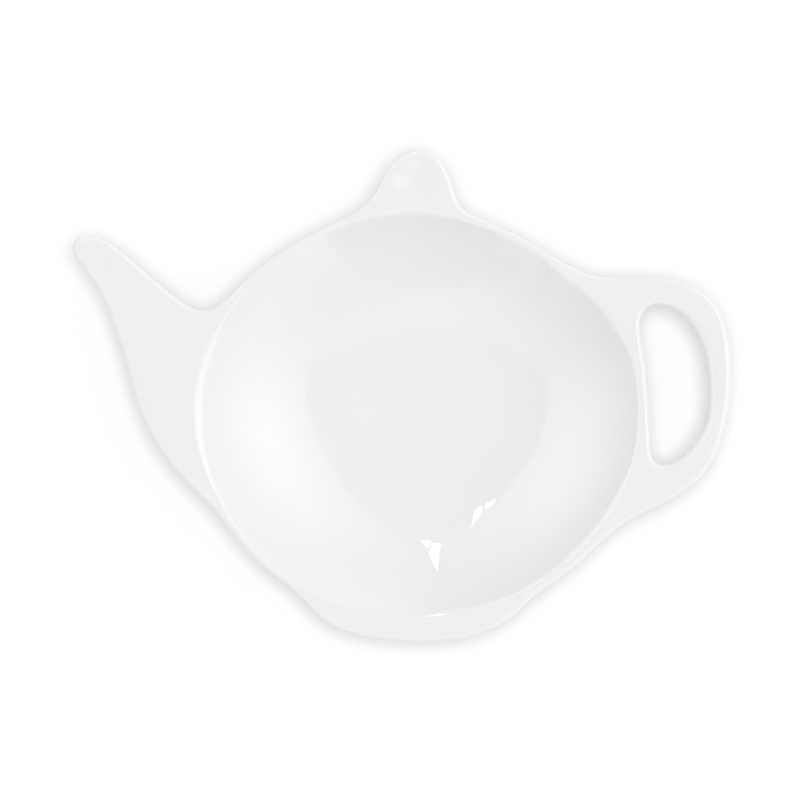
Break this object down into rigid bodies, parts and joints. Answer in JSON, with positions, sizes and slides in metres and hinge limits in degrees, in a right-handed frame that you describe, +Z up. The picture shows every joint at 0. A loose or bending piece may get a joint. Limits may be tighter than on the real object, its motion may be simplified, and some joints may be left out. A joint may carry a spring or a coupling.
{
  "type": "tea bag rest",
  "caption": "Shallow glazed porcelain dish shaped like a teapot in outline, with a round well for a used tea bag, a spout, a looped handle, a lid knob and a base around its rim.",
  "frame": {"origin": "where the axis of the bowl meets the table, at the middle of the foot ring", "axes": "+X towards the handle, +Y towards the knob, +Z up out of the well"},
  "size_m": [0.125, 0.0932, 0.016],
  "materials": {
    "glazed_porcelain": "clear gloss glaze over a white body",
    "bare_porcelain": "unglazed, fine matte, where it stood in the kiln"
  },
  "bodies": {
    "root": {"bowl": "glazed_porcelain", "spout": "glazed_porcelain", "handle": "glazed_porcelain", "knob": "glazed_porcelain", "base": "glazed_porcelain", "foot_ring": "bare_porcelain"}
  },
  "joints": []
}
